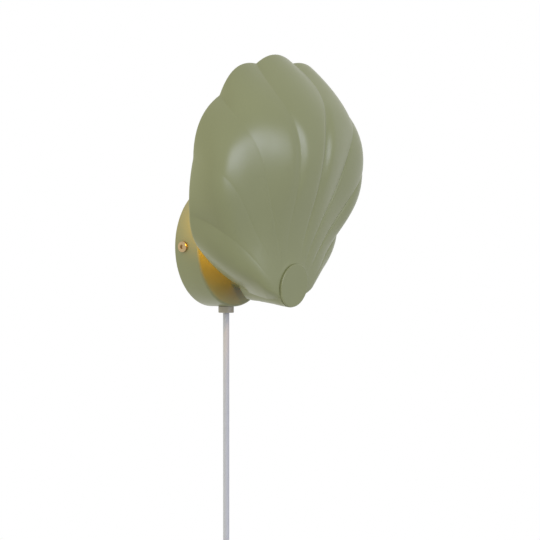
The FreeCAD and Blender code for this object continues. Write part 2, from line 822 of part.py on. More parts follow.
def rounded_block(front_low, front_high, edge_r, shrink):
    """Switch outline between two depths, its upright corners rounded, all sides drawn in by shrink."""
    half_w = switch_half_width - shrink
    half_l = switch_length / 2 - shrink
    z = switch_middle()
    block = box((-half_w, front_low, z - half_l), (half_w, front_high, z + half_l))
    edges = [e for e in block.Edges if abs(e.tangentAt(e.FirstParameter).y) > 0.9]
    return block.makeFillet(edge_r, edges)


def switch_back():
    return cord_front - switch_depth / 2


def switch_screw_places():
    """Sideways and upright places of the switch's two screws, on one diagonal."""
    return [(sign * switch_screw_side, switch_middle() + sign * switch_screw_pitch / 2) for sign in (-1, 1)]


def switch_bores(solid):
    """Cut the cord's holes at both ends."""
    length = switch_length + overrun * 2
    return solid.cut(cylinder(cord_r + fit_gap, length, at(0, cord_front, -switch_drop + overrun), DOWN))


def switch_base():
    back = switch_back()
    body = rounded_block(back, cord_front, switch_edge_r, 0)
    body = round_end(body, at(0, back, 0), FRONT, switch_lip_r)
    hollow = rounded_block(back + switch_wall, cord_front, switch_edge_r - switch_wall, switch_wall)
    body = switch_bores(body.cut(hollow))
    for x, z in switch_screw_places():
        foot = back + switch_wall / 2
        post = cylinder(switch_boss_r, cord_front - foot, at(x, foot, z), FRONT)
        body = body.fuse(post)
        hole = cylinder(switch_screw_r + fit_gap, switch_depth, at(x, back, z), FRONT)
        sink = cylinder(switch_screw_head_r + fit_gap, switch_screw_head, at(x, back, z), FRONT)
        body = body.cut(hole.fuse(sink))
    return body


def rocker_pivot():
    return at(0, cord_front + switch_depth / 2 - rocker_pivot_depth, switch_middle())


def switch_cover():
    """Front half of the switch: a window for the rocker, two cheeks that hold its pins, two screw posts."""
    front = cord_front + switch_depth / 2
    body = rounded_block(cord_front, front, switch_edge_r, 0)
    body = round_end(body, at(0, front, 0), FRONT, switch_lip_r)
    hollow = rounded_block(cord_front, front - switch_wall, switch_edge_r - switch_wall, switch_wall)
    body = switch_bores(body.cut(hollow))
    window_r = rocker_r + running_gap
    window_side = rocker_half_width + running_gap
    pivot = rocker_pivot()
    z = switch_middle()
    for sign in (-1, 1):
        side = sign * window_side
        low_front = -pivot.y - rocker_pin_r * 2
        high_front = front - switch_wall / 2
        bracket = box((side, low_front, z - cheek * 2), (side + sign * cheek, high_front, z + cheek * 2))
        body = body.fuse(bracket)
    window_back = front - switch_wall
    window = box((-window_side, window_back, z - window_r), (window_side, front + overrun, z + window_r))
    body = body.cut(window)
    pin_room = rocker_half_width + running_gap + cheek
    body = body.cut(cylinder(rocker_pin_r + thread_gap, pin_room * 2, pivot - RIGHT * pin_room, RIGHT))
    for x, place in switch_screw_places():
        post = cylinder(switch_boss_r, switch_depth / 2 - switch_wall / 2, at(x, cord_front, place), FRONT)
        body = body.fuse(post)
        depth = switch_depth / 2 - switch_wall
        hole = cylinder(switch_screw_r + thread_gap, depth, at(x, cord_front, place), FRONT)
        body = body.cut(hole)
    return body


def switch_rocker():
    """Rocker with a shallow dip across its middle, pressed in at its lower end."""
    pivot = rocker_pivot()
    long_half = rocker_r + fit_gap
    points = [(-long_half, -rocker_skirt), (long_half, -rocker_skirt), (long_half, rocker_rise),
              (0, rocker_dip), (-long_half, rocker_rise)]
    outline = [pivot + Vector(-rocker_half_width, -front, z) for z, front in points]
    prism = Part.Face(Part.makePolygon(outline + outline[:1])).extrude(RIGHT * (rocker_half_width * 2))
    rocker = prism.common(cylinder(rocker_r, rocker_half_width * 2, pivot - RIGHT * rocker_half_width, RIGHT))
    pin_half = rocker_half_width + cheek
    rocker = rocker.fuse(cylinder(rocker_pin_r, pin_half * 2, pivot - RIGHT * pin_half, RIGHT))
    rocker.rotate(pivot, RIGHT, rocker_tilt)
    return rocker


def switch_screws():
    solids = []
    back = switch_back()
    for x, z in switch_screw_places():
        head = cylinder(switch_screw_head_r, switch_screw_head, at(x, back, z), FRONT)
        shank = cylinder(switch_screw_r, switch_depth - switch_wall * 2, at(x, back, z), FRONT)
        slot = box((x - switch_screw_head_r, back - overrun, z - screwdriver_slot / 2),
                   (x + switch_screw_head_r, back + switch_screw_head / 2, z + screwdriver_slot / 2))
        solids.append(head.fuse(shank).cut(slot))
    return Part.makeCompound(solids)


def switch_contacts():
    """Two contact strips on the floor of the switch, under the ends of the rocker."""
    solids = []
    floor = switch_back() + switch_wall
    half = switch_contact_width / 2
    for sign in (-1, 1):
        start = switch_middle() + sign * switch_contact_width / 2
        end = start + sign * switch_contact_length
        strip = box((-half, floor, start), (half, floor + switch_contact_thick, end))
        solids.append(strip)
    return Part.makeCompound(solids)


# Cord, coil and plug

def coil_entry():
    """Where the cord joins the coil's turns, at the upper right, and the corner it comes from."""
    share = math.sqrt(2) / 2
    entry = at(coil_r * share, cord_front, -coil_drop + coil_r * share)
    corner = at(0, cord_front, -coil_drop + coil_r / share)
    return corner, entry


def cord_drop():
    route = [at(0, cord_front, -cord_top_drop), at(0, cord_front, -switch_drop - cord_in_switch)]
    return cylinder(cord_r, (route[1] - route[0]).Length, route[0], DOWN)


def cord_lower():
    corner, entry = coil_entry()
    start = at(0, cord_front, -switch_drop - switch_length + cord_in_switch)
    solid, radii = tube_along([start, corner, entry], cord_r)
    return solid.cut(cord_coil()), radii


def cord_coil():
    """Outer shape of the tied round coil of the spare length."""
    return Part.makeTorus(coil_r, coil_bundle_r, at(0, cord_front, -coil_drop), Vector(0, 1, 0))


def cord_tie():
    """Band round the bundle at the coil's left-hand side."""
    centre = at(-coil_r, cord_front, -coil_drop)
    section = Part.Face(Part.Wire(Part.makeCircle(coil_bundle_r + tie_thick, centre, UP)))
    middle = at(0, cord_front, -coil_drop)
    band = facing_out(section.revolve(middle, Vector(0, 1, 0), tie_turn))
    band.rotate(middle, Vector(0, 1, 0), -tie_turn / 2)
    return band.cut(cord_coil())


def cord_tail():
    start = at(coil_r, cord_front, -coil_drop)
    length = plug_top_drop + cord_in_relief - coil_drop
    return cylinder(cord_r, length, start, DOWN).cut(cord_coil())


def plug_relief():
    """Tapered bush where the cord enters the plug."""
    top = at(coil_r, cord_front, -plug_top_drop)
    cone = Part.makeCone(relief_top_r, relief_base_r, relief_length, top, DOWN)
    return cone.cut(cylinder(cord_r + thread_gap, cord_in_relief, top, DOWN))


def plug_body():
    """Flat two-pin plug, narrow where the cord enters and wide at its face."""
    top = -plug_top_drop - relief_length
    low = top - plug_length
    back = cord_front - plug_half_depth
    points = [(-plug_waist / 2, top), (plug_waist / 2, top), (plug_half_width, low + plug_length / 2),
              (plug_half_width, low), (-plug_half_width, low), (-plug_half_width, low + plug_length / 2)]
    outline = [at(coil_r + x, back, z) for x, z in points]
    body = Part.Face(Part.makePolygon(outline + outline[:1])).extrude(FRONT * (plug_half_depth * 2))
    edges = [e for e in body.Edges if abs(e.tangentAt(e.FirstParameter).y) > 0.9]
    body = body.makeFillet(plug_edge_r, edges)
    body = round_end(body, at(0, back, 0), FRONT, plug_edge_r / 2)
    body = round_end(body, at(0, back + plug_half_depth * 2, 0), FRONT, plug_edge_r / 2)
    for x in plug_pin_places():
        body = body.cut(cylinder(plug_pin_r + thread_gap, plug_sleeve_length, at(x, cord_front, low), UP))
    return body


def plug_pin_places():
    return [coil_r + sign * plug_pin_pitch / 2 for sign in (-1, 1)]


def plug_pins():
    low = -plug_top_drop - relief_length - plug_length
    solids = []
    for x in plug_pin_places():
        start = at(x, cord_front, low + plug_sleeve_length)
        pin = cylinder(plug_pin_r, plug_pin_length + plug_sleeve_length, start, DOWN)
        solids.append(round_end(pin, at(x, cord_front, low - plug_pin_length), DOWN, plug_pin_r * 0.9))
    return Part.makeCompound(solids)


def main():
    lower, lower_radii = cord_lower()
    print("cord bend radii, mm:", [round(r, 1) for r in lower_radii], "and in the coil", coil_r)
    coil_length = coil_turns * 2 * math.pi * coil_r
    print("coil holds", round(coil_length), "mm of cord in", coil_turns, "turns")
    nodes = {
        "wall_dish": wall_dish(),
        "wall_bracket": wall_bracket(),
        "dish_screws": dish_screws(),
        "terminal_block": terminal_block(),
        "terminal_barrels": terminal_barrels(),
        "terminal_screws": terminal_screws(),
        "block_screw": block_screw(),
        "supply_wires": supply_wires(),
        "holder_wires": holder_wires(),
        "arm_tube": arm_tube(),
        "arm_rod": arm_rod(),
        "arm_washer": arm_washer_ring(),
        "arm_locknut": arm_locknut(),
        "shade_shell": shade_shell(),
        "umbo_cap": umbo_cap(),
        "shade_hub": shade_hub(),
        "hub_screw": hub_screw(),
        "holder_nipple": holder_nipple(),
        "lampholder": lampholder(),
        "holder_contacts": holder_contacts(),
        "bulb_pins": bulb_pins(),
        "bulb_base": bulb_base(),
        "bulb_glass": bulb_glass(),
        "bulb_filament": bulb_filament(),
        "cord_gland": cord_gland(),
        "gland_locknut": gland_locknut(),
        "gland_grub_screw": gland_grub_screw(),
        "cord_drop": cord_drop(),
        "switch_base": switch_base(),
        "switch_cover": switch_cover(),
        "switch_rocker": switch_rocker(),
        "switch_screws": switch_screws(),
        "switch_contacts": switch_contacts(),
        "cord_lower": lower,
        "cord_coil": cord_coil(),
        "cord_tie": cord_tie(),
        "cord_tail": cord_tail(),
        "plug_relief": plug_relief(),
        "plug_body": plug_body(),
        "plug_pins": plug_pins(),
    }
    os.makedirs("parts", exist_ok=True)
    for name, shape in nodes.items():
        if not shape.isValid() or any(s.Volume <= 0 for s in shape.Solids) or not shape.Solids:
            raise ValueError(name + " isn't a sound solid")
        shape.exportStep("parts/" + name + ".step")
        print(name, len(shape.Solids), round(shape.Volume))


main()
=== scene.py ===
"""Looks of the wall lamp: a painted scallop-shell shade on a round wall dish, with a textile cord."""
import math

import bpy
import numpy as np
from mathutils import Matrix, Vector


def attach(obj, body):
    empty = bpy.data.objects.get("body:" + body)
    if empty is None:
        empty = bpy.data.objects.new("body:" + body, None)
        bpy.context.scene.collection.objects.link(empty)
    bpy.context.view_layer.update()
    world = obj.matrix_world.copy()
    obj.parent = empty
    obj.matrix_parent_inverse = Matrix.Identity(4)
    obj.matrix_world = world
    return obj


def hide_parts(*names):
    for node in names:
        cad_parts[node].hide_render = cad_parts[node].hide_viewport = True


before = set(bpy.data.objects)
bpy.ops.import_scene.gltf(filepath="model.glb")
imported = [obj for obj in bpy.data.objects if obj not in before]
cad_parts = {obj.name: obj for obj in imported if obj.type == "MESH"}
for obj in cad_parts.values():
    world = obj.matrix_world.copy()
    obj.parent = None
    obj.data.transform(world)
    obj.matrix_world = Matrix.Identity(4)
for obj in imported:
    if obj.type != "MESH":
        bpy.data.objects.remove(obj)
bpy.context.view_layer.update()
scene = bpy.context.scene
MM = 0.001


def at(x, front, z):
    """Place in metres from millimetres: x to the right, front away from the wall, z up."""
    return Vector((x, -front, z)) * MM


# Camera: a very long lens, so that the view is nearly parallel, as in the photograph

view_azimuth = math.radians(-52.5)
view_elevation = math.radians(1.3)
view_distance = 7.0
far_clip = 28.0
picture_px = 540.0
px_per_mm = 1.208
sensor = 36.0
aim = at(29.1, 37.9, -20.1)

camera_data = bpy.data.cameras.new("camera")
camera = bpy.data.objects.new("camera", camera_data)
scene.collection.objects.link(camera)
scene.camera = camera
camera_data.sensor_width = sensor
camera_data.lens = px_per_mm / MM * view_distance * sensor / picture_px
camera_data.clip_end = far_clip
back = Vector((math.sin(view_azimuth) * math.cos(view_elevation),
               -math.cos(view_azimuth) * math.cos(view_elevation), math.sin(view_elevation)))
camera.location = aim + back * view_distance
camera.rotation_euler = (-back).to_track_quat("-Z", "Y").to_euler()


# Mesh helpers

def add_mesh(name, points, faces, materials, body, slot, replaces, slots_of_faces=None, sharp=None):
    """Make a smooth shaded piece from points in metres. Edges over the sharp angle stay crisp."""
    mesh = bpy.data.meshes.new(name)
    mesh.from_pydata([tuple(p) for p in points], [], faces)
    for material in materials:
        mesh.materials.append(material)
    mesh.polygons.foreach_set("use_smooth", [True] * len(mesh.polygons))
    if slots_of_faces is not None:
        mesh.polygons.foreach_set("material_index", slots_of_faces)
    if sharp is not None:
        mesh.set_sharp_from_angle(angle=math.radians(sharp))
    mesh.validate()
    mesh.update()
    piece = bpy.data.objects.new(name, mesh)
    scene.collection.objects.link(piece)
    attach(piece, body)
    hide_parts(*replaces)
    return piece


def ring_faces(rows, columns):
    """Quads between rings of points, each ring closed."""
    faces = []
    for j in range(rows - 1):
        for i in range(columns):
            k = (i + 1) % columns
            faces.append((j * columns + i, j * columns + k, (j + 1) * columns + k, (j + 1) * columns + i))
    return faces


def closing_faces(rows, columns):
    """Quads from the last ring of points back to the first."""
    last = (rows - 1) * columns
    return [(last + i, last + (i + 1) % columns, (i + 1) % columns, i) for i in range(columns)]


def arc_points(centre, r, start, end, steps):
    """Points of an arc in a (radius, height) outline, angles in degrees."""
    turns = [math.radians(start + (end - start) * i / steps) for i in range(steps + 1)]
    return [(centre[0] + r * math.cos(t), centre[1] + r * math.sin(t)) for t in turns]


def lathe(name, outline, base, axis, steps, closed, **piece):
    """Turn an outline of (radius, height) in millimetres about an axis through base. A closed outline's
    end is joined to its start. What piece holds goes to add_mesh."""
    axis = Vector(axis).normalized()
    side = axis.orthogonal().normalized()
    other = axis.cross(side)
    points = []
    for r, h in outline:
        for i in range(steps):
            t = 2 * math.pi * i / steps
            points.append(base + (axis * h + (side * math.cos(t) + other * math.sin(t)) * r) * MM)
    faces = ring_faces(len(outline), steps)
    if closed:
        faces += closing_faces(len(outline), steps)
    return add_mesh(name, points, faces, **piece)


# Materials

# A noise's values lie mostly between these two
noise_low = 0.3
noise_high = 0.7


def new_material(name):
    """A new material, with its nodes, its links and its shader."""
    material = bpy.data.materials.new(name)
    material.use_nodes = True
    nodes = material.node_tree.nodes
    shader = nodes.get("Principled BSDF")
    return material, nodes, material.node_tree.links, shader


def srgb(r, g, b):
    """Linear colour from a display colour of 0 to 255."""
    def linear(v):
        v = v / 255
        return v / 12.92 if v <= 0.04045 else ((v + 0.055) / 1.055) ** 2.4
    return (linear(r), linear(g), linear(b), 1)


def noise(nodes, links, scale, detail):
    """Noise over the piece's own coordinates."""
    coords = nodes.new("ShaderNodeTexCoord")
    texture = nodes.new("ShaderNodeTexNoise")
    texture.inputs["Scale"].default_value = scale
    texture.inputs["Detail"].default_value = detail
    links.new(coords.outputs["Object"], texture.inputs["Vector"])
    return texture.outputs["Fac"]


def ramp(nodes, links, source, low, high, low_colour, high_colour):
    """Colour that goes from one to the other while the source goes from low to high."""
    node = nodes.new("ShaderNodeValToRGB")
    node.color_ramp.elements[0].position = low
    node.color_ramp.elements[0].color = low_colour
    node.color_ramp.elements[1].position = high
    node.color_ramp.elements[1].color = high_colour
    links.new(source, node.inputs["Fac"])
    return node.outputs["Color"]


def uneven(nodes, links, source, value, spread):
    """The value, from a share less to the same share more, as the noise goes."""
    node = nodes.new("ShaderNodeMapRange")
    node.inputs["From Min"].default_value = noise_low
    node.inputs["From Max"].default_value = noise_high
    node.inputs["To Min"].default_value = value * (1 - spread)
    node.inputs["To Max"].default_value = value * (1 + spread)
    links.new(source, node.inputs["Value"])
    return node.outputs["Result"]


def bump(nodes, links, source, strength, distance):
    """Surface relief that follows the source, over a distance in metres."""
    node = nodes.new("ShaderNodeBump")
    node.inputs["Strength"].default_value = strength
    node.inputs["Distance"].default_value = distance
    links.new(source, node.inputs["Height"])
    return node.outputs["Normal"]


def scaled(colour, share):
    """The colour times a share, opaque."""
    return tuple(c * share for c in colour[:3]) + (1,)


def toned(nodes, links, source, colour, darkest, lightest):
    """The colour, from its darkest to its lightest share, as the noise goes."""
    return ramp(nodes, links, source, noise_low, noise_high,
                scaled(colour, darkest), scaled(colour, lightest))


def paint(name, colour, roughness, variation=0.04, metallic=0.0, coat=0.0, grain=900, grain_depth=0.00004,
          specular=0.5):
    """Sprayed paint: slow changes of tone, fine orange peel and uneven gloss."""
    material, nodes, links, shader = new_material(name)
    tone = noise(nodes, links, scale=22, detail=4)
    links.new(toned(nodes, links, tone, colour, 1 - variation, 1 + variation), shader.inputs["Base Color"])
    gloss = noise(nodes, links, scale=60, detail=3)
    links.new(uneven(nodes, links, gloss, roughness, spread=0.07), shader.inputs["Roughness"])
    peel = noise(nodes, links, scale=grain, detail=2)
    links.new(bump(nodes, links, peel, strength=0.5, distance=grain_depth), shader.inputs["Normal"])
    shader.inputs["Metallic"].default_value = metallic
    shader.inputs["Specular IOR Level"].default_value = specular
    shader.inputs["Coat Weight"].default_value = coat
    shader.inputs["Coat Roughness"].default_value = 0.25
    return material


def plastic(name, colour, roughness, variation=0.03):
    """Moulded plastic with a fine spark-eroded grain."""
    return paint(name, colour, roughness, variation, grain=1600, grain_depth=0.00002)


def metal(name, colour, roughness, brushed=1):
    """Plain or plated metal with fine marks, drawn out along x where it is brushed."""
    material, nodes, links, shader = new_material(name)
    shader.inputs["Metallic"].default_value = 1.0
    coords = nodes.new("ShaderNodeTexCoord")
    stretch = nodes.new("ShaderNodeMapping")
    stretch.inputs["Scale"].default_value = (1, brushed, brushed)
    marks = nodes.new("ShaderNodeTexNoise")
    marks.inputs["Scale"].default_value = 700
    links.new(coords.outputs["Object"], stretch.inputs["Vector"])
    links.new(stretch.outputs["Vector"], marks.inputs["Vector"])
    tone = marks.outputs["Fac"]
    links.new(toned(nodes, links, tone, colour, darkest=0.92, lightest=1.08), shader.inputs["Base Color"])
    links.new(uneven(nodes, links, tone, roughness, spread=0.2), shader.inputs["Roughness"])
    links.new(bump(nodes, links, tone, strength=0.3, distance=0.00002), shader.inputs["Normal"])
    return material


def braid(name, colour, strands, pitch):
    """Braided textile sleeve: strands cross in both directions round the cord, over and under each other.

    It follows the piece's own map: round the cord, and along it in turns of the circumference."""
    material, nodes, links, shader = new_material(name)
    uv = nodes.new("ShaderNodeUVMap")
    uv.uv_map = "braid"
    split = nodes.new("ShaderNodeSeparateXYZ")
    links.new(uv.outputs["UV"], split.inputs["Vector"])

    def maths(operation, a, b=None):
        """Result of a maths node. Each input is a number or another node's output."""
        node = nodes.new("ShaderNodeMath")
        node.operation = operation
        for socket, value in zip(node.inputs, (a, b)):
            if isinstance(value, (int, float)):
                socket.default_value = value
            elif value is not None:
                links.new(value, socket)
        return node.outputs["Value"]

    round_way = maths("MULTIPLY", split.outputs["X"], strands * 2 * math.pi)
    along = maths("MULTIPLY", split.outputs["Y"], pitch * 2 * math.pi)
    first = maths("SINE", maths("ADD", round_way, along))
    second = maths("SINE", maths("SUBTRACT", round_way, along))
    swap = maths("MULTIPLY", maths("SINE", round_way), maths("SINE", along))
    over = maths("GREATER_THAN", swap, 0)
    mixed = nodes.new("ShaderNodeMix")
    links.new(over, mixed.inputs["Factor"])
    links.new(first, mixed.inputs["A"])
    links.new(second, mixed.inputs["B"])
    fuzz = noise(nodes, links, scale=4000, detail=2)
    strand_height = 0.5
    fuzz_height = 0.4
    level = maths("ADD", maths("MULTIPLY", mixed.outputs["Result"], strand_height),
                  maths("MULTIPLY", fuzz, fuzz_height))
    # Painted light and shade: the yarn is lighter on the strands' crowns and darker in the dips where one
    # strand runs under the other, with random fuzz in its tone
    tone = ramp(nodes, links, level, low=0.0, high=0.75,
                low_colour=scaled(colour, 0.88), high_colour=scaled(colour, 1.04))
    links.new(tone, shader.inputs["Base Color"])
    links.new(bump(nodes, links, level, strength=0.6, distance=0.00012), shader.inputs["Normal"])
    shader.inputs["Roughness"].default_value = 0.85
    shader.inputs["Sheen Weight"].default_value = 0.35
    shader.inputs["Sheen Roughness"].default_value = 0.5
    return material


def opal(name, colour, glow, strength):
    """Frosted bulb glass that is lit from within."""
    material, nodes, links, shader = new_material(name)
    tone = noise(nodes, links, scale=90, detail=2)
    links.new(toned(nodes, links, tone, colour, darkest=0.97, lightest=1), shader.inputs["Base Color"])
    shader.inputs["Roughness"].default_value = 0.45
    shader.inputs["Emission Color"].default_value = glow
    shader.inputs["Emission Strength"].default_value = strength
    return material


def glowing(name, colour, strength):
    """Warm phosphor strips of the bulb."""
    material, nodes, links, shader = new_material(name)
    tone = noise(nodes, links, scale=900, detail=2)
    links.new(toned(nodes, links, tone, colour, darkest=0.9, lightest=1), shader.inputs["Base Color"])
    shader.inputs["Emission Color"].default_value = colour
    shader.inputs["Emission Strength"].default_value = strength
    return material


green = paint("sage_green_paint", srgb(130, 133, 93), roughness=0.34, variation=0.02, specular=0.36,
              grain_depth=0.000015)
gold = paint("gold_paint", srgb(216, 174, 88), roughness=0.42, metallic=0.6)
brass = metal("brass", srgb(206, 164, 98), roughness=0.3)
pale_brass = metal("pale_brass", srgb(186, 160, 120), roughness=0.3)
steel = metal("zinc_plated_steel", srgb(196, 197, 196), roughness=0.38, brushed=6)
nickel = metal("nickel_plate", srgb(212, 208, 200), roughness=0.22)
porcelain = paint("porcelain", srgb(232, 229, 219), roughness=0.35, variation=0.02, coat=0.3)
cream_plastic = plastic("terminal_plastic", srgb(226, 224, 214), roughness=0.5)
sleeve_brown = plastic("wire_sleeve_brown", srgb(104, 70, 46), roughness=0.45)
gland_plastic = plastic("gland_plastic", srgb(150, 144, 124), roughness=0.48)
grey_plastic = plastic("pale_grey_plastic", srgb(196, 196, 194), roughness=0.38)
rocker_plastic = plastic("rocker_plastic", srgb(208, 208, 206), roughness=0.3)
band = plastic("tie_band", srgb(96, 96, 96), roughness=0.8, variation=0.12)
opal_glass = opal("opal_glass", srgb(238, 232, 220), glow=srgb(255, 214, 140), strength=7.0)
phosphor = glowing("warm_phosphor", srgb(255, 196, 110), strength=2.0)
textile = braid("grey_textile", srgb(188, 188, 187), strands=10, pitch=5)


# Cord: one spline from inside the dish to the plug, with the spare length in a tied coil

cord_d = 5.2
cord_sides = 14
cord_front = 14.5
cord_top_z = -44.5
switch_top_z = -250.0
switch_low_z = -312.0
plug_top_z = -412.0
cord_in_plug = 11.0
coil_z = -372.0
coil_mid_r = 28.5
coil_turns = 8
coil_end_turn = 0.125
coil_start_angle = 45
coil_points_per_turn = 16
slots_in_ring = 7
slot_ring_r = 6.05
# In each turn the cord moves over to its next slot, from this share of the turn on and over this share. The
# move out of the middle slot starts earlier
move_start = 0.62
early_move_start = 0.3
move_share = 0.25

drop_points = [(0, cord_front, cord_top_z), (0, cord_front, -95), (0, cord_front, -150),
               (0, cord_front, -205), (0, cord_front, switch_top_z), (0, cord_front, switch_low_z + 6)]


def smooth_step(t):
    """From 0 to 1 as t does, with a soft start and end."""
    return t * t * (3 - 2 * t)


def coil_slots():
    """Places of the turns in the bundle's section as (outwards, to the front): the ring's slots from the
    outer front on, all but the last, then the middle, then the last slot, outermost, for the last turn and
    for the coil's end."""
    ring = [math.radians(360 / slots_in_ring * (i + 1)) for i in range(slots_in_ring)]
    places = [(slot_ring_r * math.cos(t), slot_ring_r * math.sin(t)) for t in ring]
    return places[:-1] + [(0, 0)] + places[-1:] * 2


def coil_spline_points():
    """Control points of the coil, clockwise from its upper right, ending at its right-hand side."""
    places = coil_slots()
    last = len(places) - 1
    steps = round(coil_points_per_turn * (coil_turns + coil_end_turn))
    spread = 1 / math.cos(math.pi / coil_points_per_turn)
    points = []
    for i in range(1, steps + 1):
        turns = i / coil_points_per_turn
        step = int(turns)
        part = turns - step
        here, there = places[step], places[min(step + 1, last)]
        start = early_move_start if here == (0, 0) else move_start
        move = smooth_step(min(max((part - start) / move_share, 0), 1))
        out = here[0] + (there[0] - here[0]) * move
        front = here[1] + (there[1] - here[1]) * move
        angle = math.radians(coil_start_angle - 360 * turns)
        r = (coil_mid_r + out) * spread
        points.append((r * math.cos(angle), cord_front + front, coil_z + r * math.sin(angle)))
    return points


def entry_points():
    """From the switch down to the coil's upper right."""
    out, front = coil_slots()[0]
    r = coil_mid_r + out
    corner_z = coil_z + r * math.sqrt(2)
    return [(0, cord_front, corner_z + 12), (1, cord_front + front * 0.4, corner_z + 2),
            (r * 0.36, cord_front + front, corner_z - r * 0.34)]


def tail_points():
    """From the coil's right-hand side down into the plug."""
    x = coil_mid_r + coil_slots()[-1][0]
    return [(x, cord_front, coil_z - 12), (x - 1, cord_front, coil_z - 22),
            (coil_mid_r + 1, cord_front, coil_z - 34), (coil_mid_r, cord_front, plug_top_z - 2),
            (coil_mid_r, cord_front, plug_top_z - cord_in_plug)]


def route_line(points):
    """Follow a NURBS spline through its control points and give its points in metres."""
    curve = bpy.data.curves.new("cord_route", "CURVE")
    curve.dimensions = "3D"
    spline = curve.splines.new("NURBS")
    spline.points.add(len(points) - 1)
    for point, place in zip(spline.points, points):
        point.co = (*at(*place), 1)
    spline.order_u = 3
    spline.use_endpoint_u = True
    spline.resolution_u = 4
    holder = bpy.data.objects.new("cord_route", curve)
    scene.collection.objects.link(holder)
    depsgraph = bpy.context.evaluated_depsgraph_get()
    mesh = bpy.data.meshes.new_from_object(holder.evaluated_get(depsgraph))
    line = [v.co.copy() for v in mesh.vertices]
    bpy.data.objects.remove(holder)
    bpy.data.meshes.remove(mesh)
    return line


def tube(name, line, r, sides, body, slot, material, replaces):
    """Round tube along a line, with a map round and along it, in turns of the circumference."""
    points = []
    along = [0.0]
    for a, b in zip(line, line[1:]):
        along.append(along[-1] + (b - a).length)
    end = len(line) - 1
    tangents = [(line[min(i + 1, end)] - line[max(i - 1, 0)]).normalized() for i in range(len(line))]
    side = tangents[0].orthogonal().normalized()
    for i, place in enumerate(line):
        side = (side - tangents[i] * side.dot(tangents[i])).normalized()
        other = tangents[i].cross(side)
        for k in range(sides):
            t = 2 * math.pi * k / sides
            points.append(place + (side * math.cos(t) + other * math.sin(t)) * r)
    faces = ring_faces(len(line), sides)
    caps = [tuple(reversed(range(sides))), tuple(range(end * sides, (end + 1) * sides))]
    piece = add_mesh(name, points, faces + caps, [material], body, slot, replaces)
    uv = piece.data.uv_layers.new(name="braid")
    turn = 2 * math.pi * r
    for polygon in piece.data.polygons:
        if polygon.loop_total == sides:
            continue
        corners = [piece.data.loops[loop].vertex_index for loop in polygon.loop_indices]
        wraps = {v % sides for v in corners} == {0, sides - 1}
        for loop, vertex in zip(polygon.loop_indices, corners):
            k = vertex % sides
            if wraps and k == 0:
                k = sides
            uv.data[loop].uv = (k / sides, along[vertex // sides] / turn)
    return piece


cord_line = route_line(drop_points + entry_points() + coil_spline_points() + tail_points())
cord = tube("textile_cord", cord_line, cord_d / 2 * MM, cord_sides, "lamp", "grey_textile", textile,
            ["cord_drop", "cord_lower", "cord_coil", "cord_tail"])


# Shade: ribs between creases, as wide and as high as in the solid, with softened creases and a round rim

shade_tilt = math.radians(7.5)
shade_height = 180.0
shade_depth = 45.0
shade_wall = 1.5
umbo_r = 18.0
umbo_thick = 2.0
umbo_groove = 0.5
umbo_front = 86.0
umbo_drop = 31.7
stud_r = 5.1
seat_r = umbo_r + umbo_groove
seat_depth = shade_depth - umbo_thick
shade_rows = 90
rib_steps = 24
rim_steps = 6
curve_degree = 3
crease_softness = 0.5
rim_sharp = 60

# The creases, from the seat of the umbo out to the rim, nearest the middle line first. Each row is (share of
# the reach beyond the seat, degrees from straight up, share of the seat's depth).
crease_shares = [
    [(0.045, 21, 0.94), (0.23, 13.5, 0.97), (0.49, 8.7, 1.255), (0.75, 8.2, 1.13), (0.915, 12.2, 0.51),
     (1.0, 7.8, 0)],
    [(0.055, 38, 0.93), (0.23, 31.5, 0.965), (0.475, 30.5, 0.965), (0.73, 28, 0.965), (0.89, 30.5, 0.62),
     (0.92, 24.5, 0)],
    [(0.06, 59, 0.96), (0.195, 50, 0.86), (0.41, 47.5, 0.85), (0.64, 45.5, 0.86), (0.78, 47, 0.62),
     (0.743, 43.7, 0)],
    [(0.09, 79, 0.97), (0.2, 68, 0.83), (0.31, 63, 0.7), (0.42, 60.5, 0.6), (0.51, 60, 0.38),
     (0.55, 60, 0)],
    [(0.04, 102, 1.0), (0.095, 93, 0.94), (0.16, 86, 0.77), (0.27, 79, 0.58), (0.36, 75, 0.28),
     (0.38, 71.4, 0)],
    [(0, 126, 0.84), (0, 124, 0.65), (0, 121, 0.465), (0, 118, 0.28), (-0.003, 114, 0.14),
     (-0.003, 109.6, 0)],
]
seat_turns = [24, 46, 66, 88, 112, 128]
# How far each rib stands out between its creases, as a share of the space between them, from seat to rim
bulge_shares = [
    [0, 0.02, 0.06, 0.08, 0.08, 0.12, 0.155],
    [0, 0.02, 0.06, 0.08, 0.07, 0.095, 0.2],
    [0, 0.02, 0.05, 0.06, 0.09, 0.115, 0.185],
    [0, 0.01, 0.02, 0.06, 0.16, 0.13, 0.055],
    [0, 0.01, 0.03, 0.08, 0.16, 0.13, 0.1],
    [0, 0.04, 0.06, 0.06, 0.06, 0.05, 0.04],
]
# Degrees by which the ribs lean from straight out to along the rim's plane, and how round each row stays
lean_turns = [0, 5, 10, 15, 40, 75, 90]
round_shares = [1, 0.8, 0.3, 0, 0, 0, 0]
# The neck under the umbo: share of the seat's radius at the bottom, and how wide it stays there
neck_shares = [(1, 0.5), (1.005, 0.51), (1.015, 0.52), (1.02, 0.53), (1.02, 0.5), (1.0, 0.38), (0.985, 0.24)]


def shade_to_world(points):
    """Points (x, rise, depth) of the shade's leaning frame in millimetres to the lamp's frame in metres."""
    s, c = math.sin(shade_tilt), math.cos(shade_tilt)
    x, rise, depth = points[..., 0], points[..., 1], points[..., 2]
    front = umbo_front - shade_depth * c + rise * s + depth * c
    z = shade_depth * s - umbo_drop + rise * c - depth * s
    return np.stack([x, -front, z], axis=-1) * MM


def polar(r, turn, depth):
    """Point of the shade's frame at a radius and degrees from straight up."""
    return np.array([r * math.sin(math.radians(turn)), r * math.cos(math.radians(turn)), depth])


